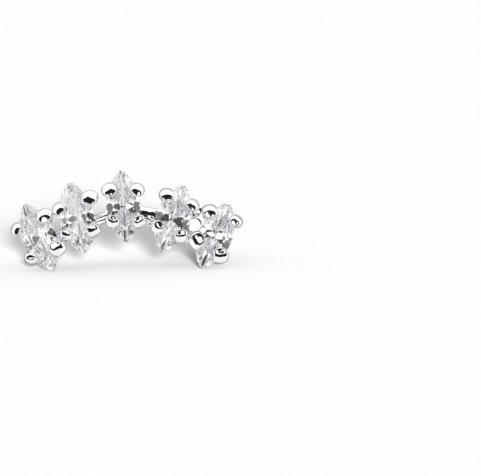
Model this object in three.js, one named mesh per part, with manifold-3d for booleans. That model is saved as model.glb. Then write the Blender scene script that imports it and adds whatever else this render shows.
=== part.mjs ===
// Ear climber stud earring: five marquise stones in a rainbow arc of prong settings, with a post and clutch.
//
// Millimetres, +Z up. The earring is first built face on, in its own face frame: X runs along the row from
// stone 1 to stone 5, Y is up the face and Z points out of the face, with the origin in the girdle plane of
// the middle stone. The last section stands it on the surface where it rests.
import * as THREE from 'three';
import { ConvexGeometry } from 'three/addons/geometries/ConvexGeometry.js';
import { mergeVertices } from 'three/addons/utils/BufferGeometryUtils.js';
import Module from 'manifold-3d';

const wasm = await Module();
wasm.setup();

// ---- Driving dimensions -------------------------------------------------------------------------------

// One marquise stone, measured from the middle of its girdle.
const STONE = {
  length: 5.05,
  width: 2.5,
  tipWidth: 0.26, // the tips are slightly blunt
  girdle: 0.1, // thickness of the edge band
  crown: 0.36, // height of the table above the edge band
  pavilion: 1.05, // depth of the culet below the edge band
  table: 0.58, // size of the table, as a share of the outline
  starMeet: 0.5, // how far up the crown the upper girdle facets reach
  lowerMeet: 0.72, // how far down the pavilion the lower girdle facets reach
};

// Where each stone sits: the middle of its girdle, the turn of its long axis in the face (fan), and how far
// its table looks to the right (turn) and up (lean), in degrees. "claws" holds the middle of each claw head,
// across and along the stone, and its size as a share of a plain head, because the claws were pushed over by
// hand: upper left, upper right, lower left and lower right.
const STONES = [
  { name: 'stone_1', x: -5.98, y: -2.18, z: -0.07, fan: 23.1, turn: -8, lean: -4,
    claws: [[-1.22, 1.16, 0.88], [1.06, 1.2, 1.08], [-1.08, -1.16, 0.95], [0.97, -1.22, 1.1]] },
  { name: 'stone_2', x: -3.27, y: -0.8, z: 0.14, fan: 11.3, turn: -1, lean: -4,
    claws: [[-1.12, 0.86, 0.92], [1.2, 1.22, 1.08], [-1.0, -1.04, 0.88], [0.97, -1.08, 0.98]] },
  { name: 'stone_3', x: 0.0, y: 0.0, z: 0.0, fan: 3.8, turn: 6, lean: 0,
    claws: [[-0.94, 1.22, 1.04], [1.02, 1.1, 1.02], [-0.87, -1.02, 1.0], [1.03, -1.14, 0.93]] },
  { name: 'stone_4', x: 3.47, y: -0.87, z: -0.43, fan: -19.2, turn: 8, lean: 6,
    claws: [[-0.95, 1.44, 1.08], [1.0, 1.36, 0.97], [-0.84, -0.94, 0.97], [0.92, -1.0, 0.94]] },
  { name: 'stone_5', x: 6.46, y: -2.04, z: -0.77, fan: -23.2, turn: 5, lean: 8,
    claws: [[-1.0, 1.4, 1.14], [0.97, 1.5, 0.9], [-1.04, -0.87, 1.18], [0.9, -1.2, 1.1]] },
];

// One claw and its stem, in the frame of its stone.
const CLAW = {
  rise: 0.1, // middle of the head above the middle of the girdle
  halfIn: 0.5, // half size of a plain head, the way it is folded
  halfWide: 0.52, // half size of a plain head, square to that
  halfUp: 0.48, // half size of the head up the prong
  foldAcross: 0.5, // how far heads are folded across the stone, as a share of how far along it
  stem: 0.28, // radius of the stem
  foot: 0.68, // place of the foot, as a share of the head's place
};

// The two rails of one basket. "scale" and "hole" are shares of the stone's outline.
const SEAT_RAIL = { scale: 0.86, hole: 0.56, top: -0.3, height: 0.5 };
const FOOT_RAIL = { scale: 0.64, hole: 0.42, top: -1.35, height: 0.4 };
const STONE_CLEARANCE = 0.05; // gap round a stone where the claws and the seat hold it

// Bars that join each basket to the next, in the face frame.
const LINKS = [
  { from: [-5.34, -2.29, -1.0], to: [-4.0, -1.88, -0.8], radius: 0.36 },
  { from: [-2.51, -1.16, -0.8], to: [-0.67, -0.53, -0.8], radius: 0.39 },
  { from: [0.74, -0.31, -0.8], to: [2.93, -0.6, -1.1], radius: 0.33 },
  { from: [1.1, -1.06, -0.4], to: [2.5, -1.4, -0.7], radius: 0.2 },
  { from: [4.1, -1.05, -1.4], to: [5.8, -1.6, -1.7], radius: 0.34 },
  { from: [4.1, -2.05, -0.9], to: [5.2, -2.3, -1.1], radius: 0.17 },
];

// The ear post, a wire soldered to a round pad between the fourth basket and the fifth.
const POST = {
  x: 5.01,
  y: -1.31,
  start: -0.95, // face of the pad, in the face frame
  padRadius: 0.58,
  padDepth: 0.45,
  end: -11.5,
  radius: 0.4,
  chamfer: 0.1,
};

const CLUTCH = {
  front: -2.9, // face of its plate, in the face frame
  strip: 0.24, // thickness of the strip
  height: 2.6, // width of the strip, up the face
  curl: 0.75, // radius of a curl
  curlAt: 1.36, // middle of a curl from the post
  curlTurn: 250, // how far each curl is rolled, in degrees
  hole: 0.45, // radius of the hole in the plate
};

// How finely the curved surfaces are split.
const DETAIL = {
  railSide: 6, // steps along each side of a rail, and of the room cut for a stone
  stoneSide: 16, // steps along each side of a stone
  headRound: 10, // steps round a claw head
  headUp: 6, // steps up a claw head
  stem: 8, // steps round a stem
  bar: 10, // steps round a joining bar
  post: 16, // steps round the post and its hole
  curl: 12, // steps along each curved part of the clutch
};

const REST_TILT = 76; // first guess of how far the face is tipped up when the earring rests, in degrees
const REST_PASSES = 4; // how often that guess is bettered

const GRID = 0.002; // corners of a cut solid are snapped to this
const WELD = 0.00001; // corners of a plain shape nearer than this are one

// ---- Materials ----------------------------------------------------------------------------------------

const silver = new THREE.MeshStandardMaterial({ color: 0xf2f3f4, roughness: 0.08, metalness: 1 });
const zirconia = new THREE.MeshStandardMaterial({ color: 0xe6e6ee, roughness: 0.02, metalness: 0 });

// ---- Joining and cutting ------------------------------------------------------------------------------

function solidOf(geometry) {
  const bare = geometry.clone();
  bare.deleteAttribute('normal');
  bare.deleteAttribute('uv');
  const merged = mergeVertices(bare, WELD);
  return new wasm.Manifold(new wasm.Mesh({
    numProp: 3,
    vertProperties: new Float32Array(merged.attributes.position.array),
    triVerts: new Uint32Array(merged.index.array),
  }));
}

// The geometry of a solid, with its corners snapped to a fine grid, which closes up the slivers of a cut.
function geometryOf(solid) {
  const { vertProperties, triVerts } = solid.getMesh();
  const snapped = vertProperties.map((value) => Math.round(value / GRID) * GRID);
  const geometry = new THREE.BufferGeometry();
  geometry.setAttribute('position', new THREE.BufferAttribute(snapped, 3));
  geometry.setIndex(new THREE.BufferAttribute(triVerts, 1));
  const merged = mergeVertices(geometry, GRID / 10);
  const corners = merged.index.array;
  const kept = [];
  for (let i = 0; i < corners.length; i += 3) {
    const [a, b, c] = corners.slice(i, i + 3);
    if (a !== b && b !== c && c !== a) kept.push(a, b, c);
  }
  merged.setIndex(kept);
  merged.computeVertexNormals();
  return merged;
}

function joined(geometries) {
  return geometries.map(solidOf).reduce((all, next) => all.add(next));
}

// ---- Marquise outline ---------------------------------------------------------------------------------

const degrees = THREE.MathUtils.degToRad;

// The radius of the arc that makes one side of the outline.
function sideRadius({ length, width, tipWidth }) {
  const bulge = (width - tipWidth) / 2;
  return (length * length / 4 + bulge * bulge) / (2 * bulge);
}

// The point of the outline at an angle round it: 0 is the belly on +X and 90 is the tip on +Y. Each side is
// one arc, and it ends in a short flat at the tip.
function outlinePoint(angle, stone) {
  const radius = sideRadius(stone);
  const y = stone.length / 2 * Math.sin(degrees(angle));
  const x = Math.sqrt(radius * radius - y * y) - radius + stone.width / 2;
  return new THREE.Vector2(Math.cos(degrees(angle)) < 0 ? -x : x, y);
}

// The way the outline faces at an angle round it.
function outlineNormal(angle, stone) {
  if (angle === 90) return new THREE.Vector2(0, 1);
  const point = outlinePoint(angle, stone);
  return new THREE.Vector2(point.x + sideRadius(stone) - stone.width / 2, point.y).normalize();
}

// The whole outline, as points in order, scaled about its middle. Each tip gives two points.
function outline(stone, scale, steps) {
  const points = [];
  for (const side of [1, -1]) {
    for (let i = 0; i <= steps; i += 1) {
      const point = outlinePoint(-90 + 180 * i / steps, stone);
      points.push(point.multiplyScalar(side * scale));
    }
  }
  return points;
}

// ---- Stones -------------------------------------------------------------------------------------------

// A main facet, crown or pavilion: it leaves the edge at an outline angle, level with the edge there, and
// rises or falls to pass through an inner point.
function mainFacet(stone, angle, edgeZ, inner) {
  const edge = outlinePoint(angle, stone);
  const facing = outlineNormal(angle, stone);
  const run = edge.clone().sub(inner).dot(facing);
  return { reach: edge.dot(facing), facing, run, edgeZ, rise: inner.z - edgeZ };
}

// The corner where two main facets meet at a given height.
function meetingAt(a, b, z) {
  const reachA = a.reach - a.run * (z - a.edgeZ) / a.rise;
  const reachB = b.reach - b.run * (z - b.edgeZ) / b.rise;
  const spread = a.facing.x * b.facing.y - a.facing.y * b.facing.x;
  const x = (reachA * b.facing.y - reachB * a.facing.y) / spread;
  const y = (reachB * a.facing.x - reachA * b.facing.x) / spread;
  return new THREE.Vector3(x, y, z);
}

// The facet corners in a quarter of one side of the stone. "peak" is the height of the table or the culet,
// "flat" the table's share of the outline, 0 for a culet, and "meet" how far up the mains part.
function facetCorners(stone, edgeZ, peak, flat, meet) {
  const corners = [0, 45, 90].map((angle) => {
    const point = outlinePoint(angle, stone).multiplyScalar(flat);
    return new THREE.Vector3(angle === 90 ? 0 : point.x, point.y, peak);
  });
  const [side, shoulder, tip] = [0, 45, 90].map((angle, i) => mainFacet(stone, angle, edgeZ, corners[i]));
  const meetZ = edgeZ + (peak - edgeZ) * meet;
  return [...corners, meetingAt(side, shoulder, meetZ), meetingAt(shoulder, tip, meetZ)];
}

function stoneGeometry(stone, edgeSteps) {
  const half = stone.girdle / 2;
  const quarter = [
    ...facetCorners(stone, half, half + stone.crown, stone.table, stone.starMeet),
    ...facetCorners(stone, -half, -half - stone.pavilion, 0, stone.lowerMeet),
  ];
  const points = [];
  for (const corner of quarter) {
    for (const [mirrorX, mirrorY] of [[1, 1], [-1, 1], [-1, -1], [1, -1]]) {
      points.push(new THREE.Vector3(corner.x * mirrorX, corner.y * mirrorY, corner.z));
    }
  }
  for (const edge of outline(stone, 1, edgeSteps)) {
    points.push(new THREE.Vector3(edge.x, edge.y, half), new THREE.Vector3(edge.x, edge.y, -half));
  }
  return new ConvexGeometry(points);
}

// ---- Places -------------------------------------------------------------------------------------------

// Moves a geometry from the frame of a stone to where that stone sits in the face.
function placed(geometry, { x, y, z, fan, turn, lean }) {
  const spin = new THREE.Euler(degrees(-lean), degrees(turn), degrees(fan), 'YXZ');
  const place = new THREE.Matrix4()
    .makeRotationFromEuler(spin)
    .setPosition(x, y, z);
  return geometry.applyMatrix4(place);
}

// ---- Setting ------------------------------------------------------------------------------------------

// A rod from one point to another, with flat ends.
function rod(from, to, radius, sides) {
  const start = new THREE.Vector3(...from);
  const end = new THREE.Vector3(...to);
  const along = end.clone().sub(start);
  const turn = new THREE.Quaternion().setFromUnitVectors(
    new THREE.Vector3(0, 1, 0),
    along.clone().normalize(),
  );
  return new THREE.CylinderGeometry(radius, radius, along.length(), sides)
    .applyQuaternion(turn)
    .translate(...start.add(end).divideScalar(2));
}

// One rail: a marquise ring of sheet, standing on its edge.
function rail({ scale, hole, top, height }) {
  const shape = new THREE.Shape(outline(STONE, scale, DETAIL.railSide));
  shape.holes.push(new THREE.Path(outline(STONE, hole, DETAIL.railSide)));
  return new THREE.ExtrudeGeometry(shape, { depth: height, bevelEnabled: false })
    .translate(0, 0, top - height);
}

// One prong: a stem that leans out from the foot rail, and the claw head folded over the stone's edge.
function prong([across, along, size]) {
  const fold = Math.atan2(-along, -across * CLAW.foldAcross);
  const head = new THREE.SphereGeometry(size, DETAIL.headRound, DETAIL.headUp)
    .rotateX(Math.PI / 2)
    .scale(CLAW.halfIn, CLAW.halfWide, CLAW.halfUp)
    .rotateZ(fold)
    .translate(across, along, CLAW.rise);
  const foot = [across * CLAW.foot, along * CLAW.foot, FOOT_RAIL.top - FOOT_RAIL.height];
  return [rod(foot, [across, along, CLAW.rise], CLAW.stem, DETAIL.stem), head];
}

function basket(stone) {
  const pieces = [rail(SEAT_RAIL), rail(FOOT_RAIL), ...stone.claws.flatMap(prong)];
  return pieces.map((piece) => placed(piece, stone));
}

function post() {
  const { x, y, start, padRadius, padDepth, end, radius, chamfer } = POST;
  const profile = [
    new THREE.Vector2(0, end),
    new THREE.Vector2(radius - chamfer, end),
    new THREE.Vector2(radius, end + chamfer),
    new THREE.Vector2(radius, start - padDepth),
    new THREE.Vector2(padRadius, start - padDepth),
    new THREE.Vector2(padRadius, start - chamfer),
    new THREE.Vector2(padRadius - chamfer, start),
    new THREE.Vector2(0, start),
  ];
  return new THREE.LatheGeometry(profile, DETAIL.post)
    .rotateX(Math.PI / 2)
    .translate(x, y, 0);
}

function settingGeometry() {
  const pieces = STONES.flatMap(basket);
  const bars = LINKS.map(({ from, to, radius }) => rod(from, to, radius, DETAIL.bar));
  const metal = joined([...pieces, ...bars, post()]);
  const room = {
    ...STONE,
    length: STONE.length + 2 * STONE_CLEARANCE,
    width: STONE.width + 2 * STONE_CLEARANCE,
    girdle: STONE.girdle + 2 * STONE_CLEARANCE,
  };
  const seats = STONES.map((stone) => placed(stoneGeometry(room, DETAIL.railSide), stone));
  return geometryOf(seats.map(solidOf).reduce((left, seat) => left.subtract(seat), metal));
}

// ---- Butterfly clutch ---------------------------------------------------------------------------------

// The strip seen on its edge, with the ear along the bottom: a flat plate between two curls.
function stripShape() {
  const { strip, curl, curlAt, curlTurn } = CLUTCH;
  const middle = curl + strip / 2;
  const bottom = -Math.PI / 2;
  const shape = new THREE.Shape();
  const roll = degrees(curlTurn);
  shape.moveTo(-curlAt, 0);
  shape.lineTo(curlAt, 0);
  shape.absarc(curlAt, middle, middle, bottom, bottom + roll, false);
  shape.absarc(curlAt, middle, middle - strip, bottom + roll, bottom, true);
  shape.lineTo(-curlAt, strip);
  shape.absarc(-curlAt, middle, middle - strip, bottom, bottom - roll, true);
  shape.absarc(-curlAt, middle, middle, bottom - roll, bottom, false);
  return shape;
}

function clutchGeometry() {
  const { front, strip, height, hole } = CLUTCH;
  const { x, y } = POST;
  const options = { depth: height, bevelEnabled: false, curveSegments: DETAIL.curl };
  const bent = new THREE.ExtrudeGeometry(stripShape(), options)
    .rotateX(-Math.PI / 2)
    .translate(x, y - height / 2, front);
  const drill = rod([x, y, front + strip], [x, y, front - 2 * strip], hole, DETAIL.post);
  return geometryOf(solidOf(bent).subtract(solidOf(drill)));
}

// ---- The earring at rest ------------------------------------------------------------------------------

const face = new THREE.Group();

function addPiece(name, geometry, material) {
  const mesh = new THREE.Mesh(geometry, material);
  mesh.name = name;
  face.add(mesh);
}

addPiece('setting', settingGeometry(), silver);
for (const stone of STONES) {
  addPiece(stone.name, placed(stoneGeometry(STONE, DETAIL.stoneSide), stone), zirconia);
}
addPiece('butterfly_clutch', clutchGeometry(), silver);

// The corner of a geometry that is lowest once the face frame is turned.
function lowestCorner(geometry, turn) {
  const points = geometry.attributes.position;
  let lowest = null;
  let least = Infinity;
  for (let i = 0; i < points.count; i += 1) {
    const corner = new THREE.Vector3().fromBufferAttribute(points, i);
    const height = corner.clone().applyQuaternion(turn).z;
    if (height < least) {
      least = height;
      lowest = corner;
    }
  }
  return lowest;
}

// The earring stands on the lower tips of its two end stones and leans back on the end of its post. Its turn
// is found by laying the plane of those three corners flat, again until the lowest corners stay the same.
function restingTurn() {
  const up = new THREE.Vector3(0, 0, 1);
  const ends = [STONES[0], STONES[4]];
  const supports = ends.map((stone) => placed(stoneGeometry(STONE, DETAIL.stoneSide), stone));
  supports.push(post());
  const turn = new THREE.Quaternion().setFromAxisAngle(new THREE.Vector3(1, 0, 0), degrees(REST_TILT));
  for (let pass = 0; pass < REST_PASSES; pass += 1) {
    const corners = supports.map((geometry) => lowestCorner(geometry, turn));
    const plane = new THREE.Plane().setFromCoplanarPoints(...corners);
    if (plane.normal.y < 0) plane.negate();
    turn.setFromUnitVectors(plane.normal, up);
  }
  return turn;
}

face.quaternion.copy(restingTurn());
const earring = new THREE.Group();
earring.add(face);
earring.updateMatrixWorld(true);
const box = new THREE.Box3().setFromObject(earring, true);
face.position.set(-(box.min.x + box.max.x) / 2, -(box.min.y + box.max.y) / 2, -box.min.z);

export default earring;
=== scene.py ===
"""Ear climber stud earring: five marquise stones in a soldered silver setting, with a post and a clutch."""

import math

import bmesh
import bpy
from bpy.props import FloatProperty, FloatVectorProperty, PointerProperty
from mathutils import Matrix, Vector


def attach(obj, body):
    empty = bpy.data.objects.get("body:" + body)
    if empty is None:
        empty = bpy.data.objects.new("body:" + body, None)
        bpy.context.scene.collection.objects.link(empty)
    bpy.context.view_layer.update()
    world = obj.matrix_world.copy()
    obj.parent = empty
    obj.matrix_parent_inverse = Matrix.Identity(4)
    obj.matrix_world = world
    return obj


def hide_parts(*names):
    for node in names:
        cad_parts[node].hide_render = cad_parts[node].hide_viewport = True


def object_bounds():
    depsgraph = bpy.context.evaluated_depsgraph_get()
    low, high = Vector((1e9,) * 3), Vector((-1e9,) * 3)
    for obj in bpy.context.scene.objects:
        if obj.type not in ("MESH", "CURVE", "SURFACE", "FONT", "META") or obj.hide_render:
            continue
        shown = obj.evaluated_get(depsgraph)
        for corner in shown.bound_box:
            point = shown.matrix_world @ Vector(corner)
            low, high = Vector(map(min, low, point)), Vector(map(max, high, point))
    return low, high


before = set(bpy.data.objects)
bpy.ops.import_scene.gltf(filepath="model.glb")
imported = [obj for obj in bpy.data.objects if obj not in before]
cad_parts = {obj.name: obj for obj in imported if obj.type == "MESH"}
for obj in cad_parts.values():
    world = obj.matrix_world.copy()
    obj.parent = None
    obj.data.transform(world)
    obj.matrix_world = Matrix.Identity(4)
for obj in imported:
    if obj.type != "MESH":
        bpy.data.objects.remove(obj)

bl_info = {
    "name": "Marquise ear climber",
    "version": (1, 0, 0),
    "blender": (4, 5, 0),
    "location": "3D View > Sidebar > Earring",
    "description": "Builds a stud earring with five marquise stones, and a pale studio round it",
    "category": "Add Mesh",
}

MM = 0.001
BODY = "root"
STONES = ["stone_1", "stone_2", "stone_3", "stone_4", "stone_5"]
CAD_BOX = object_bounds()

MERGE = 0.0005 * MM  # corners nearer to each other than this are one
TIP_DEPTH = 0.005 * MM  # corners this near to the end of a stone lie on its tip
FACET_BEND = math.radians(0.4)  # triangles that bend less than this belong to one facet
SHARP_BEND = math.radians(38)  # edges of the metal that bend more than this stay crisp
ROUNDING = 2  # levels of subdivision that round off a prong, a bar or the post
LIGHT_BOUNCES = 32  # enough for light to find its way out of a stone
STONE_HEIGHT = 1.5  # about the height of a stone, in millimetres

# How the middle stone is turned in the face of the earring, in degrees.
MIDDLE_FAN = 3.8
MIDDLE_TURN = 6.0

# The claw heads of each stone: upper left, upper right, lower left and lower right.
# across, along: the middle of the head, in millimetres from the middle of the stone's edge
# size: a share of a plain head
# filed: how far its top is filed down towards the outside, in degrees
# corner: rounding of the corners where the pliers squared a head, as a share of its half width; or None
CLAWS = {
    "stone_1": [
        # across, along, size, filed, corner
        (-1.22, 1.16, 0.88, 10, None),
        (1.06, 1.2, 1.08, 5, None),
        (-1.08, -1.16, 0.95, -20, None),
        (0.97, -1.22, 1.06, 4, 0.7),
    ],
    "stone_2": [
        (-1.12, 0.86, 0.92, 16, None),
        (1.2, 1.22, 1.08, 14, None),
        (-1.0, -1.04, 0.84, 5, 0.6),
        (0.97, -1.08, 0.91, 5, 0.6),
    ],
    "stone_3": [
        (-0.94, 1.22, 1.04, 11, None),
        (1.02, 1.1, 1.02, 4, None),
        (-0.87, -1.02, 1.0, 3, None),
        (1.03, -1.14, 0.9, 3, 0.6),
    ],
    "stone_4": [
        (-0.95, 1.44, 1.08, 2, None),
        (1.0, 1.36, 0.97, 3, None),
        (-0.84, -0.94, 0.97, 4, None),
        (0.92, -1.0, 0.94, 6, 0.7),
    ],
    "stone_5": [
        (-1.0, 1.4, 1.14, -4, None),
        (0.97, 1.5, 0.9, -6, 0.7),
        (-1.04, -0.87, 1.1, 9, 0.6),
        (0.9, -1.2, 1.06, 7, 0.7),
    ],
}

# A prong above its foot, as rings in millimetres.
PRONG_RINGS = [
    # height over the stone's edge, lean towards the stone, half width in that way, half width square to it
    (-0.8, 0.0, 0.29, 0.29),
    (-0.42, -0.02, 0.34, 0.34),
    (-0.24, -0.05, 0.44, 0.48),
    (0.0, -0.06, 0.51, 0.58),
    (0.24, 0.01, 0.46, 0.56),
    (0.44, 0.1, 0.38, 0.5),
    (0.55, 0.18, 0.3, 0.4),
    (0.6, 0.23, 0.2, 0.26),
]
PRONG_TOP = PRONG_RINGS[-1][0]
# place: the foot's place, as a share of the head's place; height and radius in millimetres
PRONG_FOOT = {"place": 0.68, "height": -1.75, "radius": 0.27}
PRONG_SIDES = 12

# Marquise rails of a basket: outer and inner size as shares of the stone's outline, top and height in
# millimetres.
RAILS = [
    {"outer": 0.86, "inner": 0.56, "top": -0.3, "height": 0.5},
    {"outer": 0.64, "inner": 0.42, "top": -1.35, "height": 0.4},
]
RAIL_OVERRUN = math.radians(8)  # how far each curved side is drawn past the tips, before it is cut off there
RAIL_STEPS = 40
RAIL_EDGE_STEPS = 4

# Bars that join each basket to the next, in the frame of the earring's face, in millimetres and degrees.
BARS = [
    # start, end, half height, half depth, roll
    ((-5.34, -2.29, -1.0), (-4.0, -1.88, -0.8), 0.36, 0.36, 0),
    ((-2.51, -1.16, -0.8), (-0.67, -0.53, -0.8), 0.39, 0.39, 0),
    ((0.74, -0.46, -0.8), (2.93, -0.76, -1.1), 0.55, 0.3, -10),
    ((1.1, -1.06, -0.4), (2.5, -1.4, -0.7), 0.2, 0.2, 0),
    ((4.1, -1.05, -1.4), (5.8, -1.6, -1.7), 0.34, 0.34, 0),
    ((4.1, -2.05, -0.9), (5.2, -2.3, -1.1), 0.17, 0.17, 0),
]
# Where the solder makes a bar thicker: share of its length, and share of its half widths.
BAR_SWELLS = [(0.0, 0.9), (0.12, 1.08), (0.5, 1.04), (0.88, 1.08), (1.0, 0.9)]
BAR_SIDES = 12

# The post and the pad in front of it, in millimetres; start and end are heights over the earring's face.
POST = {"x": 5.01, "y": -1.31, "start": -0.95, "end": -11.5, "radius": 0.4, "pad": 0.58, "pad_depth": 0.35}
PAD_FRONT = [(0.0, 0.5), (0.0, 0.88), (0.03, 0.97), (0.09, 1.0)]  # depth behind its face, share of its radius
PAD_BACK = [(0.0, 1.0), (0.08, 0.95)]  # depth behind its back edge, share of its radius
WIRE_START = [0.1, 0.14]  # depths behind the pad's back edge
WIRE_TIP = [(0.26, 1.0), (0.12, 0.99), (0.02, 0.8), (0.0, 0.5)]  # distance from the end, share of its radius
POST_SIDES = 16

# The butterfly clutch, in millimetres and degrees: the front and thickness of its strip, its height and
# rounded edges, the two curls, and the radius of the hole for the post.
CLUTCH = {
    "front": -2.9,
    "strip": 0.24,
    "height": 2.6,
    "edge": 0.07,
    "curl": 0.75,
    "curl_at": 1.36,
    "curl_turn": 250.0,
    "hole": 0.45,
}
CLUTCH_EDGE_STEPS = 3
CURL_STEPS = 36
HOLE_SIDES = 32

# How uneven the hand polish is in front, on the claws, and behind, on the drawn wire and the rolled strip,
# and the depths behind the earring's face between which the one fades into the other, in millimetres.
POLISH = {"front": 0.8, "behind": 0.05, "fade_from": 0.75, "fade_to": 0.95}

# The camera looks straight at the earring's face. aim: a point of the face; width: how much of it the picture
# shows across; both in millimetres.
CAMERA = {"aim": (8.265, -2.223, 0.0), "width": 33.993, "lens": 135.0, "sensor": 36.0}
CAMERA_REACH = (0.005, 10.0)  # the nearest and farthest that it sees, in metres
TABLE_HALF = 0.6  # half the width of the table, in metres

# The cards round the lens, which the polished metal and the stones mirror. Their left, right, lower and upper
# edges are slopes, seen from the middle of the earring towards the camera.
BLACK_CARD = (-1.8, 1.8, -0.95, 1.0)
WHITE_WINDOW = (-0.6, 0.6, -0.26, 0.24)
LENS = (-0.03, 0.17, -0.12, 0.24)
CARD_DEPTH = 0.05  # only directions that point at least this much towards the camera meet a card
BLACKNESS = 0.985  # share of the light that the black card takes away

# The tent isn't even. It is darker behind the earring and a little less bright below. Each change fades
# between two shares of a direction: towards the camera, and up.
TENT_BEHIND = {"from": -0.8, "to": -0.1, "dark": 0.75}
TENT_BELOW = {"from": -1.0, "to": 0.1, "light": 0.75}

# The key light beside the camera: how far it stands to the right and above, as shares of the way to the
# camera, its width in degrees, and its distance in metres.
KEY_LIGHT = {"right": 0.13, "up": 0.1, "width": 12.0, "distance": 0.3}


# ---- Colours and nodes --------------------------------------------------------------------------


def linear(hex_colour):
    """Turns an sRGB hex colour into linear red, green and blue."""
    channels = [int(hex_colour[i : i + 2], 16) / 255 for i in (1, 3, 5)]
    return tuple(c / 12.92 if c <= 0.04045 else ((c + 0.055) / 1.055) ** 2.4 for c in channels)


def add_node(tree, kind, links=(), values=(), **settings):
    """Adds a node. Settings are its properties, values its sockets' defaults, and links what feeds them."""
    node = tree.nodes.new(kind)
    for name, value in settings.items():
        setattr(node, name, value)
    for socket, value in values:
        node.inputs[socket].default_value = value
    for socket, source in links:
        tree.links.new(source, node.inputs[socket])
    return node


def new_material(name):
    """Makes a material with a Principled shader. Returns the material, its node tree and the shader."""
    material = bpy.data.materials.new(name)
    material.use_nodes = True
    tree = material.node_tree
    tree.nodes.clear()
    shader = add_node(tree, "ShaderNodeBsdfPrincipled")
    add_node(tree, "ShaderNodeOutputMaterial", links=[("Surface", shader.outputs["BSDF"])])
    return material, tree, shader


# ---- Meshes -------------------------------------------------------------------------------------


def new_piece(name, bm, material=None):
    """Makes a mesh object from a bmesh, puts it in the scene and frees the bmesh."""
    mesh = bpy.data.meshes.new(name)
    bm.to_mesh(mesh)
    bm.free()
    piece = bpy.data.objects.new(name, mesh)
    bpy.context.scene.collection.objects.link(piece)
    if material:
        mesh.materials.append(material)
    return piece


def applied(piece):
    """Applies a piece's modifiers to its mesh."""
    bpy.context.view_layer.update()
    graph = bpy.context.evaluated_depsgraph_get()
    made = bpy.data.meshes.new_from_object(piece.evaluated_get(graph))
    piece.modifiers.clear()
    old = piece.data
    piece.data = made
    bpy.data.meshes.remove(old)
    made.name = piece.name
    return piece


def rounded(piece):
    """Rounds a piece off with a subdivision surface."""
    smooth = piece.modifiers.new("Rounded", "SUBSURF")
    smooth.levels = ROUNDING
    smooth.render_levels = ROUNDING
    return applied(piece)


def combine(base, others, operation):
    """Joins solids to a base, or cuts them from it, and removes them."""
    group = bpy.data.collections.new("operands")
    bpy.context.scene.collection.children.link(group)
    for other in others:
        group.objects.link(other)
    modifier = base.modifiers.new(operation.title(), "BOOLEAN")
    modifier.operation = operation
    modifier.operand_type = "COLLECTION"
    modifier.collection = group
    modifier.solver = "MANIFOLD"
    applied(base)
    for other in others:
        bpy.data.objects.remove(other)
    bpy.data.collections.remove(group)
    return base


def shade_metal(piece):
    """Shades a metal piece smooth and keeps its sharp edges crisp."""
    piece.data.shade_smooth()
    piece.data.set_sharp_from_angle(angle=SHARP_BEND)


def everything(bm):
    """All corners, edges and faces of a bmesh."""
    return bm.verts[:] + bm.edges[:] + bm.faces[:]


def mirror_half(bm, merge):
    """Cuts off what lies past the middle plane of X, with any face in that plane, and mirrors the rest."""
    bmesh.ops.bisect_plane(
        bm, geom=everything(bm), plane_co=(0.0, 0.0, 0.0), plane_no=(-1.0, 0.0, 0.0), clear_outer=True
    )
    middle = [face for face in bm.faces if abs(face.calc_center_median().x) < merge]
    bmesh.ops.delete(bm, geom=middle, context="FACES_ONLY")
    bmesh.ops.mirror(bm, geom=everything(bm), axis="X", merge_dist=merge)
    bmesh.ops.remove_doubles(bm, verts=bm.verts, dist=merge)
    bmesh.ops.recalc_face_normals(bm, faces=bm.faces[:])


def ring(centre, turn, half_x, half_y):
    """The matrix of one ring of a loft."""
    return Matrix.Translation(centre) @ turn.to_4x4() @ Matrix.Diagonal((half_x, half_y, 1.0, 1.0))


def loft(rings, sides, corner=None):
    """A closed bmesh drawn through rings. Each is a matrix that places a unit circle, or where a corner is
    given, a square with corners that round."""
    bm = bmesh.new()
    if corner is None:
        bmesh.ops.create_circle(bm, cap_ends=False, radius=1.0, segments=sides, matrix=rings[0])
    else:
        bmesh.ops.create_grid(bm, x_segments=1, y_segments=1, size=1.0)
        bmesh.ops.bevel(
            bm,
            geom=bm.verts[:],
            offset=corner,
            offset_type="OFFSET",
            affect="VERTICES",
            segments=sides // 4 - 1,
            profile=0.5,
            material=-1,
        )
        bmesh.ops.delete(bm, geom=bm.faces[:], context="FACES_ONLY")
        bmesh.ops.transform(bm, matrix=rings[0], verts=bm.verts[:])
    rim = bm.edges[:]
    for before, after in zip(rings, rings[1:]):
        grown = bmesh.ops.extrude_edge_only(bm, edges=rim)["geom"]
        rim = [part for part in grown if isinstance(part, bmesh.types.BMEdge)]
        corners = [part for part in grown if isinstance(part, bmesh.types.BMVert)]
        bmesh.ops.transform(bm, matrix=after @ before.inverted(), verts=corners)
    bmesh.ops.holes_fill(bm, edges=bm.edges[:])
    bmesh.ops.recalc_face_normals(bm, faces=bm.faces[:])
    return bm


# ---- Places -------------------------------------------------------------------------------------


def faceted(node):
    """A bmesh of a stone's own solid, with its loose triangles merged and each facet made one face."""
    bm = bmesh.new()
    bm.from_mesh(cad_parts[node].data)
    bmesh.ops.remove_doubles(bm, verts=bm.verts[:], dist=MERGE)
    bmesh.ops.dissolve_limit(bm, angle_limit=FACET_BEND, verts=bm.verts[:], edges=bm.edges[:])
    return bm


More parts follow.
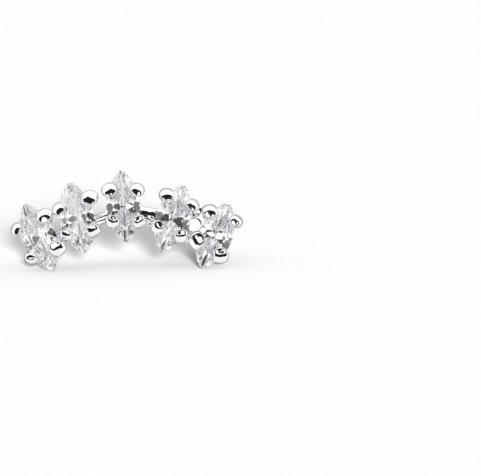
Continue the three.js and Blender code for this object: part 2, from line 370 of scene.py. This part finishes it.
def stone_place(node):
    """A stone's frame, in the middle of its edge: X across, Y along and Z out of the table."""
    bm = faceted(node)
    out = max(bm.faces, key=lambda facet: facet.calc_area()).normal.copy()
    points = [v.co.copy() for v in bm.verts]
    bm.free()
    middle = sum(points, Vector()) / len(points)
    side = out.orthogonal().normalized()
    up = out.cross(side)
    # The long axis is the way in which the corners spread most, worked out from double the angle.
    spread = [((p - middle).dot(side), (p - middle).dot(up)) for p in points]
    double = math.atan2(2 * sum(x * y for x, y in spread), sum(x * x - y * y for x, y in spread))
    along = side * math.cos(double / 2) + up * math.sin(double / 2)
    if along.z < 0:
        along.negate()
    reach = max((p - middle).dot(along) for p in points)
    tips = [p for p in points if abs((p - middle).dot(along)) > reach - TIP_DEPTH]
    place = Matrix((along.cross(out), along, out)).transposed().to_4x4()
    place.translation = sum(tips, Vector()) / len(tips)
    return place


def stone_outline():
    """Length, width and radius of the curved sides of a stone, in metres, read from the middle stone."""
    place = stone_place("stone_3").inverted()
    points = [place @ v.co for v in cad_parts["stone_3"].data.vertices]
    length = 2 * max(p.y for p in points)
    width = 2 * max(p.x for p in points)
    tip = 2 * max(p.x for p in points if p.y > length / 2 - TIP_DEPTH)
    bulge = (width - tip) / 2
    return length, width, (length * length / 4 + bulge * bulge) / (2 * bulge)


def face_place():
    """The frame of the earring's face, from the middle stone: X along the row, Y up the face, Z out of it."""
    turn = Matrix.Rotation(math.radians(MIDDLE_TURN), 4, "Y")
    fan = Matrix.Rotation(math.radians(MIDDLE_FAN), 4, "Z")
    return stone_place("stone_3") @ (turn @ fan).inverted()


# ---- Sizes and colours --------------------------------------------------------------------------


class EarringLooks(bpy.types.PropertyGroup):
    """What a user would change about the earring."""

    stone_clearance: FloatProperty(
        name="Stone clearance",
        description="Gap between a stone and the metal that holds it",
        default=0.03 * MM,
        unit="LENGTH",
        precision=6,
    )
    rail_edge: FloatProperty(
        name="Rail edge",
        description="Rounding of the edges of a basket's rails",
        default=0.09 * MM,
        unit="LENGTH",
        precision=6,
    )
    silver: FloatVectorProperty(
        name="Silver",
        description="Colour of the polished rhodium plating",
        default=linear("#FCFCFD"),
        subtype="COLOR",
        min=0.0,
        max=1.0,
    )
    silver_shade: FloatVectorProperty(
        name="Silver shade",
        description="Colour of the plating where the polish is thinner",
        default=linear("#F2F2F5"),
        subtype="COLOR",
        min=0.0,
        max=1.0,
    )
    stone: FloatVectorProperty(
        name="Stone",
        description="Body colour of the stones",
        default=linear("#FEFEFF"),
        subtype="COLOR",
        min=0.0,
        max=1.0,
    )


class StudioLooks(bpy.types.PropertyGroup):
    """What a user would change about the studio."""

    floor: FloatVectorProperty(
        name="Floor",
        description="Colour of the table that the earring rests on",
        default=linear("#BFBFBF"),
        subtype="COLOR",
        min=0.0,
        max=1.0,
    )
    floor_glow: FloatProperty(
        name="Floor glow",
        description="How far the table is lit from below",
        default=0.05,
        min=0.0,
    )
    tent: FloatProperty(
        name="Tent light",
        description="Brightness of the white tent round the earring",
        default=1.25,
        min=0.0,
    )
    key: FloatProperty(
        name="Key light",
        description="Strength of the lamp beside the camera",
        default=9.5,
        min=0.0,
    )


# ---- Materials ----------------------------------------------------------------------------------


def silver_material(looks, face):
    """Rhodium plate over sterling silver, polished by hand: a hard mirror, uneven on the claws."""
    material, tree, shader = new_material("polished_rhodium_silver")
    shader.inputs["Metallic"].default_value = 1.0
    place = add_node(tree, "ShaderNodeTexCoord").outputs["Object"]
    # Thinner and thicker polish, in patches about 0.8 mm wide.
    patches = add_node(
        tree, "ShaderNodeTexNoise", [("Vector", place)], [("Scale", 1 / (0.8 * MM)), ("Detail", 3.0)]
    )
    ramp = add_node(tree, "ShaderNodeValToRGB", [("Fac", patches.outputs["Fac"])])
    ramp.color_ramp.elements[0].position = 0.35
    ramp.color_ramp.elements[0].color = (*looks.silver_shade, 1.0)
    ramp.color_ramp.elements[1].position = 0.65
    ramp.color_ramp.elements[1].color = (*looks.silver, 1.0)
    tree.links.new(ramp.outputs["Color"], shader.inputs["Base Color"])
    rough = add_node(
        tree, "ShaderNodeMapRange", [("Value", patches.outputs["Fac"])], [("To Min", 0.02), ("To Max", 0.06)]
    )
    tree.links.new(rough.outputs["Result"], shader.inputs["Roughness"])
    # The unevenness that hand polishing leaves, about 0.4 mm from crest to crest. It fades with the depth
    # behind the earring's face.
    waves = add_node(
        tree, "ShaderNodeTexNoise", [("Vector", place)], [("Scale", 1 / (0.4 * MM)), ("Detail", 1.0)]
    )
    back = -face.col[2].to_3d()
    depth = add_node(tree, "ShaderNodeVectorMath", [(0, place)], [(1, back)], operation="DOT_PRODUCT")
    start = back.dot(face.translation)
    unevenness = add_node(
        tree,
        "ShaderNodeMapRange",
        [("Value", depth.outputs["Value"])],
        [
            ("From Min", start + POLISH["fade_from"] * MM),
            ("From Max", start + POLISH["fade_to"] * MM),
            ("To Min", POLISH["front"]),
            ("To Max", POLISH["behind"]),
        ],
    )
    bump = add_node(
        tree,
        "ShaderNodeBump",
        [("Height", waves.outputs["Fac"]), ("Strength", unevenness.outputs["Result"])],
        [("Distance", 0.05 * MM)],
    )
    tree.links.new(bump.outputs["Normal"], shader.inputs["Normal"])
    return material


def stone_material(looks):
    """Cubic zirconia, cut and polished: clear, with a high index that throws light back out of the table."""
    material, tree, shader = new_material("cut_cubic_zirconia")
    shader.inputs["IOR"].default_value = 2.16
    shader.inputs["Transmission Weight"].default_value = 1.0
    shader.inputs["Base Color"].default_value = (*looks.stone, 1.0)
    place = add_node(tree, "ShaderNodeTexCoord").outputs["Object"]
    # Faint handling marks, about 0.3 mm across.
    marks = add_node(
        tree, "ShaderNodeTexNoise", [("Vector", place)], [("Scale", 1 / (0.3 * MM)), ("Detail", 2.0)]
    )
    rough = add_node(
        tree,
        "ShaderNodeMapRange",
        [("Value", marks.outputs["Fac"])],
        [("From Min", 0.45), ("From Max", 0.75), ("To Min", 0.012), ("To Max", 0.035)],
    )
    tree.links.new(rough.outputs["Result"], shader.inputs["Roughness"])
    return material


def table_material(looks):
    """Matt white laminate, lit a little from below: an even, pale ground with no gloss."""
    material, tree, shader = new_material("matt_white_laminate")
    shader.inputs["Roughness"].default_value = 0.9
    shader.inputs["Specular IOR Level"].default_value = 0.0
    shader.inputs["Emission Color"].default_value = (1.0, 1.0, 1.0, 1.0)
    shader.inputs["Emission Strength"].default_value = looks.floor_glow
    place = add_node(tree, "ShaderNodeTexCoord").outputs["Object"]
    # A hardly visible grain, 3 mm wide and half a percent darker.
    grain = add_node(tree, "ShaderNodeTexNoise", [("Vector", place)], [("Scale", 1 / (3 * MM))])
    ramp = add_node(tree, "ShaderNodeValToRGB", [("Fac", grain.outputs["Fac"])])
    ramp.color_ramp.elements[0].color = (*looks.floor, 1.0)
    ramp.color_ramp.elements[1].color = (*[c * 0.995 for c in looks.floor], 1.0)
    tree.links.new(ramp.outputs["Color"], shader.inputs["Base Color"])
    return material


# ---- Setting ------------------------------------------------------------------------------------


def prong(across, along, size, filed, corner, place):
    """One prong: a stem that leans out from the foot rail, and a bulbous head over the stone's edge."""
    # The head leans towards the stone, more along it than across, because a stone is twice as long as wide.
    inward = Vector((-across / 2, -along, 0.0)).normalized()
    turn = Matrix.Rotation(math.atan2(inward.y, inward.x), 4, "Z")
    head = Vector((across, along, 0.0))
    foot = Vector((across * PRONG_FOOT["place"], along * PRONG_FOOT["place"], PRONG_FOOT["height"]))
    rings = [ring(foot * MM, turn, PRONG_FOOT["radius"] * MM, PRONG_FOOT["radius"] * MM)]
    for height, lean, half_in, half_side in PRONG_RINGS:
        down = max(0.0, height / PRONG_FOOT["height"])
        centre = head.lerp(foot, down) + inward * lean * size
        centre.z = height
        tilt = Matrix.Rotation(-math.radians(filed) * max(0.0, height / PRONG_TOP), 4, "Y")
        rings.append(ring(centre * MM, turn @ tilt, half_in * size * MM, half_side * size * MM))
    return rounded(new_piece("prong", loft([place @ r for r in rings], PRONG_SIDES, corner)))


def rail(sizes, outline, edge, place):
    """One rail of a basket: a marquise ring with two curved sides that meet at the tips."""
    length, width, arc_radius = outline
    inside, outside = sizes["inner"] * width / 2, sizes["outer"] * width / 2
    bm = bmesh.new()
    section = Matrix.Translation(((inside + outside) / 2, 0.0, (sizes["top"] - sizes["height"] / 2) * MM))
    section @= Matrix.Rotation(math.radians(90), 4, "X")
    section @= Matrix.Diagonal((outside - inside, sizes["height"] * MM, 1.0, 1.0))
    bmesh.ops.create_grid(bm, x_segments=1, y_segments=1, size=0.5, matrix=section)
    bmesh.ops.bevel(
        bm,
        geom=bm.verts[:],
        offset=edge,
        offset_type="OFFSET",
        affect="VERTICES",
        segments=RAIL_EDGE_STEPS,
        profile=0.5,
        material=-1,
    )
    centre = Vector((sizes["outer"] * (width / 2 - arc_radius), 0.0, 0.0))
    half_turn = math.asin(length / 2 / arc_radius) + RAIL_OVERRUN
    bmesh.ops.rotate(bm, verts=bm.verts, cent=centre, matrix=Matrix.Rotation(-half_turn, 3, "Z"))
    bmesh.ops.spin(
        bm,
        geom=bm.faces[:],
        cent=centre,
        axis=(0.0, 0.0, 1.0),
        angle=2 * half_turn,
        steps=RAIL_STEPS,
        use_merge=False,
    )
    mirror_half(bm, MERGE)
    bmesh.ops.transform(bm, matrix=place, verts=bm.verts)
    return new_piece("rail", bm)


def bar(start, end, half_height, half_depth, roll, place):
    """A short bar that joins two baskets."""
    start, end = Vector(start) * MM, Vector(end) * MM
    turn = (end - start).to_track_quat("Z", "Y").to_matrix() @ Matrix.Rotation(math.radians(roll), 3, "Z")
    rings = [
        ring(start.lerp(end, share), turn, half_height * swell * MM, half_depth * swell * MM)
        for share, swell in BAR_SWELLS
    ]
    return rounded(new_piece("bar", loft([place @ r for r in rings], BAR_SIDES)))


def post(place):
    """The ear post: a round pad under the baskets and a plain wire with a rounded end."""
    start, end, radius, pad = POST["start"], POST["end"], POST["radius"], POST["pad"]
    back = start - POST["pad_depth"]
    sections = [(start - depth, pad * share) for depth, share in PAD_FRONT]
    sections += [(back - depth, pad * share) for depth, share in PAD_BACK]
    sections += [(back - depth, radius) for depth in WIRE_START]
    sections += [(end + distance, radius * share) for distance, share in WIRE_TIP]
    rings = [
        ring(Vector((POST["x"], POST["y"], height)) * MM, Matrix.Identity(3), half * MM, half * MM)
        for height, half in sections
    ]
    return rounded(new_piece("post", loft([place @ r for r in rings], POST_SIDES)))


def seat_cutter(stone, place, outline, clearance):
    """A stone's own solid, grown by the clearance all round, to cut its seat with."""
    length, width, _ = outline
    grow = [1 + 2 * clearance / size for size in (width, length, STONE_HEIGHT * MM)]
    bm = faceted(stone)
    bmesh.ops.transform(bm, matrix=place @ Matrix.Diagonal((*grow, 1.0)) @ place.inverted(), verts=bm.verts)
    bmesh.ops.triangulate(bm, faces=bm.faces)
    return new_piece("seat_cutter", bm)


class EARRING_OT_setting(bpy.types.Operator):
    """Builds the silver setting: baskets, joining bars and post, soldered into one piece"""

    bl_idname = "earring.setting"
    bl_label = "Silver setting"

    def execute(self, context):
        looks = context.scene.earring_looks
        outline = stone_outline()
        face = face_place()
        parts = []
        cutters = []
        for stone in STONES:
            place = stone_place(stone)
            parts += [prong(*claw, place) for claw in CLAWS[stone]]
            parts += [rail(sizes, outline, looks.rail_edge, place) for sizes in RAILS]
            cutters.append(seat_cutter(stone, place, outline, looks.stone_clearance))
        parts += [bar(*row, face) for row in BARS]
        setting = combine(post(face), parts, "UNION")
        setting = combine(setting, cutters, "DIFFERENCE")
        setting.name = "silver_setting"
        setting.data.name = "silver_setting"
        setting.data.materials.clear()
        setting.data.materials.append(silver_material(looks, face))
        shade_metal(setting)
        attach(setting, BODY)
        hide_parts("setting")
        return {"FINISHED"}


# ---- Stones -------------------------------------------------------------------------------------


class EARRING_OT_stones(bpy.types.Operator):
    """Dresses the five cut stones"""

    bl_idname = "earring.stones"
    bl_label = "Cut stones"

    def execute(self, context):
        material = stone_material(context.scene.earring_looks)
        for stone in STONES:
            piece = new_piece(stone.replace("stone", "cut_stone"), faceted(stone), material)
            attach(piece, BODY)
            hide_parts(stone)
        return {"FINISHED"}


# ---- Clutch -------------------------------------------------------------------------------------


def clutch_strip(place):
    """The bent strip, drawn in millimetres as one half and mirrored: a flat front and a curl at each end."""
    strip, curl, curl_at = CLUTCH["strip"], CLUTCH["curl"], CLUTCH["curl_at"]
    bm = bmesh.new()
    section = Matrix.Rotation(math.radians(90), 4, "Y") @ Matrix.Diagonal((strip, CLUTCH["height"], 1.0, 1.0))
    bmesh.ops.create_grid(bm, x_segments=1, y_segments=1, size=0.5, matrix=section)
    bmesh.ops.bevel(
        bm,
        geom=bm.verts[:],
        offset=CLUTCH["edge"],
        offset_type="OFFSET",
        affect="VERTICES",
        segments=CLUTCH_EDGE_STEPS,
        profile=0.5,
        material=-1,
    )
    grown = bmesh.ops.extrude_face_region(bm, geom=bm.faces[:])["geom"]
    corners = [part for part in grown if isinstance(part, bmesh.types.BMVert)]
    bmesh.ops.translate(bm, vec=(curl_at, 0.0, 0.0), verts=corners)
    bmesh.ops.spin(
        bm,
        geom=[part for part in grown if isinstance(part, bmesh.types.BMFace)],
        cent=(curl_at, 0.0, -curl),
        axis=(0.0, 1.0, 0.0),
        angle=math.radians(CLUTCH["curl_turn"]),
        steps=CURL_STEPS,
        use_merge=False,
    )
    mirror_half(bm, MERGE / MM)
    bmesh.ops.transform(bm, matrix=place @ Matrix.Diagonal((MM, MM, MM, 1.0)), verts=bm.verts)
    return new_piece("clutch_strip", bm)


def post_drill(place):
    """The cutter for the hole in the clutch, through which the post goes."""
    bm = bmesh.new()
    hole = CLUTCH["hole"] * MM
    bmesh.ops.create_cone(
        bm,
        cap_ends=True,
        segments=HOLE_SIDES,
        radius1=hole,
        radius2=hole,
        depth=3 * CLUTCH["strip"] * MM,
        matrix=place,
    )
    return new_piece("drill", bm)


class EARRING_OT_clutch(bpy.types.Operator):
    """Bends the butterfly clutch from one strip of silver"""

    bl_idname = "earring.clutch"
    bl_label = "Butterfly clutch"

    def execute(self, context):
        middle = Vector((POST["x"], POST["y"], CLUTCH["front"] - CLUTCH["strip"] / 2)) * MM
        place = face_place() @ Matrix.Translation(middle)
        clutch = combine(clutch_strip(place), [post_drill(place)], "DIFFERENCE")
        shade_metal(clutch)
        clutch.data.materials.append(bpy.data.materials["polished_rhodium_silver"])
        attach(clutch, BODY)
        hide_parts("butterfly_clutch")
        return {"FINISHED"}


# ---- Studio -------------------------------------------------------------------------------------


def table_top(looks):
    """The pale table that the earring rests on. The metal and the stones don't mirror it."""
    bm = bmesh.new()
    bmesh.ops.create_grid(bm, x_segments=1, y_segments=1, size=TABLE_HALF)
    table = new_piece("table_top", bm, table_material(looks))
    table.visible_glossy = False


def camera(face):
    """The camera, which looks straight at the earring's face. Returns its place."""
    lens, sensor = CAMERA["lens"], CAMERA["sensor"]
    place = face @ Matrix.Translation(Vector(CAMERA["aim"]) * MM)
    place = place @ Matrix.Translation((0.0, 0.0, CAMERA["width"] * MM * lens / sensor))
    data = bpy.data.cameras.new("camera")
    data.lens = lens
    data.sensor_width = sensor
    data.clip_start, data.clip_end = CAMERA_REACH
    eye = bpy.data.objects.new("camera", data)
    bpy.context.scene.collection.objects.link(eye)
    eye.matrix_world = place
    bpy.context.scene.camera = eye
    return place.translation


def card(tree, front, side, rise, edges):
    """A mask that is 1 on a card. Side and rise are a direction's slopes, and front is 1 where they hold."""
    left, right, low, high = edges
    mask = front
    for slope, operation, edge in (
        (side, "GREATER_THAN", left),
        (side, "LESS_THAN", right),
        (rise, "GREATER_THAN", low),
        (rise, "LESS_THAN", high),
    ):
        inside = add_node(tree, "ShaderNodeMath", [(0, slope)], [(1, edge)], operation=operation)
        both = add_node(tree, "ShaderNodeMath", [(0, mask), (1, inside.outputs[0])], operation="MULTIPLY")
        mask = both.outputs[0]
    return mask


def tent(looks, toward, right, up):
    """The white tent round the earring. A black card hangs in it on the camera's side, with a white window in
    the card and the dark lens in the window. The camera itself sees plain white, and these only mirrored."""
    world = bpy.data.worlds.new("tent")
    bpy.context.scene.world = world
    world.use_nodes = True
    tree = world.node_tree
    tree.nodes.clear()
    way = add_node(tree, "ShaderNodeTexCoord").outputs["Generated"]
    shares = [
        add_node(tree, "ShaderNodeVectorMath", [(0, way)], [(1, axis)], operation="DOT_PRODUCT")
        for axis in (toward, right, up)
    ]
    depth, across, height = [share.outputs["Value"] for share in shares]
    facing = add_node(tree, "ShaderNodeMath", [(0, depth)], [(1, CARD_DEPTH)], operation="GREATER_THAN")
    front = facing.outputs[0]
    ahead = add_node(tree, "ShaderNodeMath", [(0, depth)], [(1, CARD_DEPTH)], operation="MAXIMUM").outputs[0]
    side = add_node(tree, "ShaderNodeMath", [(0, across), (1, ahead)], operation="DIVIDE").outputs[0]
    rise = add_node(tree, "ShaderNodeMath", [(0, height), (1, ahead)], operation="DIVIDE").outputs[0]
    black = card(tree, front, side, rise, BLACK_CARD)
    window = card(tree, front, side, rise, WHITE_WINDOW)
    lens = card(tree, front, side, rise, LENS)

    # The window is lit except for the lens, and the black card shows except for what is lit.
    around = add_node(tree, "ShaderNodeMath", [(1, lens)], [(0, 1.0)], operation="SUBTRACT").outputs[0]
    lit = add_node(tree, "ShaderNodeMath", [(0, window), (1, around)], operation="MULTIPLY").outputs[0]
    black = add_node(tree, "ShaderNodeMath", [(0, black), (1, lit)], operation="SUBTRACT").outputs[0]

    # The tent's wall is darker behind the earring and towards the table.
    behind = add_node(
        tree,
        "ShaderNodeMapRange",
        [("Value", depth)],
        [
            ("From Min", TENT_BEHIND["from"]),
            ("From Max", TENT_BEHIND["to"]),
            ("To Min", TENT_BEHIND["dark"]),
            ("To Max", 0.0),
        ],
    ).outputs["Result"]
    below = add_node(
        tree,
        "ShaderNodeMapRange",
        [("Value", height)],
        [
            ("From Min", TENT_BELOW["from"]),
            ("From Max", TENT_BELOW["to"]),
            ("To Min", TENT_BELOW["light"]),
            ("To Max", 1.0),
        ],
    ).outputs["Result"]
    dark = add_node(
        tree, "ShaderNodeMath", [(0, black), (2, behind)], [(1, BLACKNESS)], operation="MULTIPLY_ADD"
    ).outputs[0]

    # What the camera sees directly is plain white.
    seen = add_node(tree, "ShaderNodeLightPath").outputs["Is Camera Ray"]
    unseen = add_node(tree, "ShaderNodeMath", [(1, seen)], [(0, 1.0)], operation="SUBTRACT").outputs[0]
    dark = add_node(tree, "ShaderNodeMath", [(0, dark), (1, unseen)], operation="MULTIPLY").outputs[0]
    below = add_node(tree, "ShaderNodeMath", [(0, below), (1, seen)], operation="MAXIMUM").outputs[0]
    light = add_node(tree, "ShaderNodeMath", [(1, dark)], [(0, 1.0)], operation="SUBTRACT").outputs[0]
    light = add_node(tree, "ShaderNodeMath", [(0, light), (1, below)], operation="MULTIPLY").outputs[0]
    strength = add_node(tree, "ShaderNodeMath", [(0, light)], [(1, looks.tent)], operation="MULTIPLY")
    background = add_node(
        tree, "ShaderNodeBackground", [("Strength", strength.outputs[0])], [("Color", (1.0, 1.0, 1.0, 1.0))]
    )
    add_node(tree, "ShaderNodeOutputWorld", [("Surface", background.outputs[0])])


def key_light(looks, toward, right, up):
    """The soft lamp beside the camera, which throws the shadows. Neither metal nor stones mirror it."""
    data = bpy.data.lights.new("key_light", "SUN")
    data.angle = math.radians(KEY_LIGHT["width"])
    data.energy = looks.key
    lamp = bpy.data.objects.new("key_light", data)
    bpy.context.scene.collection.objects.link(lamp)
    way = (toward + KEY_LIGHT["up"] * up + KEY_LIGHT["right"] * right).normalized()
    turn = way.to_track_quat("Z", "Y").to_matrix().to_4x4()
    lamp.matrix_world = Matrix.Translation(way * KEY_LIGHT["distance"]) @ turn
    lamp.visible_glossy = False
    lamp.visible_transmission = False


class EARRING_OT_stage(bpy.types.Operator):
    """Sets the pale table, the camera, the light tent and the key light"""

    bl_idname = "earring.stage"
    bl_label = "Studio"

    def execute(self, context):
        looks = context.scene.studio_looks
        face = face_place()
        table_top(looks)
        # The cards and the lamp stand round the way from the middle of the earring to the camera.
        toward = (camera(face) - (CAD_BOX[0] + CAD_BOX[1]) / 2).normalized()
        right = face.col[1].to_3d().cross(toward).normalized()
        up = toward.cross(right)
        tent(looks, toward, right, up)
        key_light(looks, toward, right, up)
        context.scene.view_settings.view_transform = "Standard"
        context.scene.cycles.max_bounces = LIGHT_BOUNCES
        context.scene.cycles.glossy_bounces = LIGHT_BOUNCES
        context.scene.cycles.transmission_bounces = LIGHT_BOUNCES
        return {"FINISHED"}


# ---- Add-on -------------------------------------------------------------------------------------


class EARRING_PT_build(bpy.types.Panel):
    """Lists the sizes and colours, and what builds the earring"""

    bl_label = "Ear climber"
    bl_idname = "EARRING_PT_build"
    bl_space_type = "VIEW_3D"
    bl_region_type = "UI"
    bl_category = "Earring"

    def draw(self, context):
        for looks in (context.scene.earring_looks, context.scene.studio_looks):
            for name in type(looks).__annotations__:
                self.layout.prop(looks, name)
        for name in OPERATORS:
            self.layout.operator(name)


OPERATORS = ["earring.stones", "earring.setting", "earring.clutch", "earring.stage"]
CLASSES = [
    EarringLooks,
    StudioLooks,
    EARRING_OT_stones,
    EARRING_OT_setting,
    EARRING_OT_clutch,
    EARRING_OT_stage,
    EARRING_PT_build,
]


def register():
    for cls in CLASSES:
        bpy.utils.register_class(cls)
    bpy.types.Scene.earring_looks = PointerProperty(type=EarringLooks)
    bpy.types.Scene.studio_looks = PointerProperty(type=StudioLooks)


def unregister():
    del bpy.types.Scene.earring_looks
    del bpy.types.Scene.studio_looks
    for cls in reversed(CLASSES):
        bpy.utils.unregister_class(cls)


def main():
    """Builds everything in order."""
    register()
    bpy.ops.earring.stones()
    bpy.ops.earring.setting()
    bpy.ops.earring.clutch()
    bpy.ops.earring.stage()


if __name__ == "__main__":
    main()
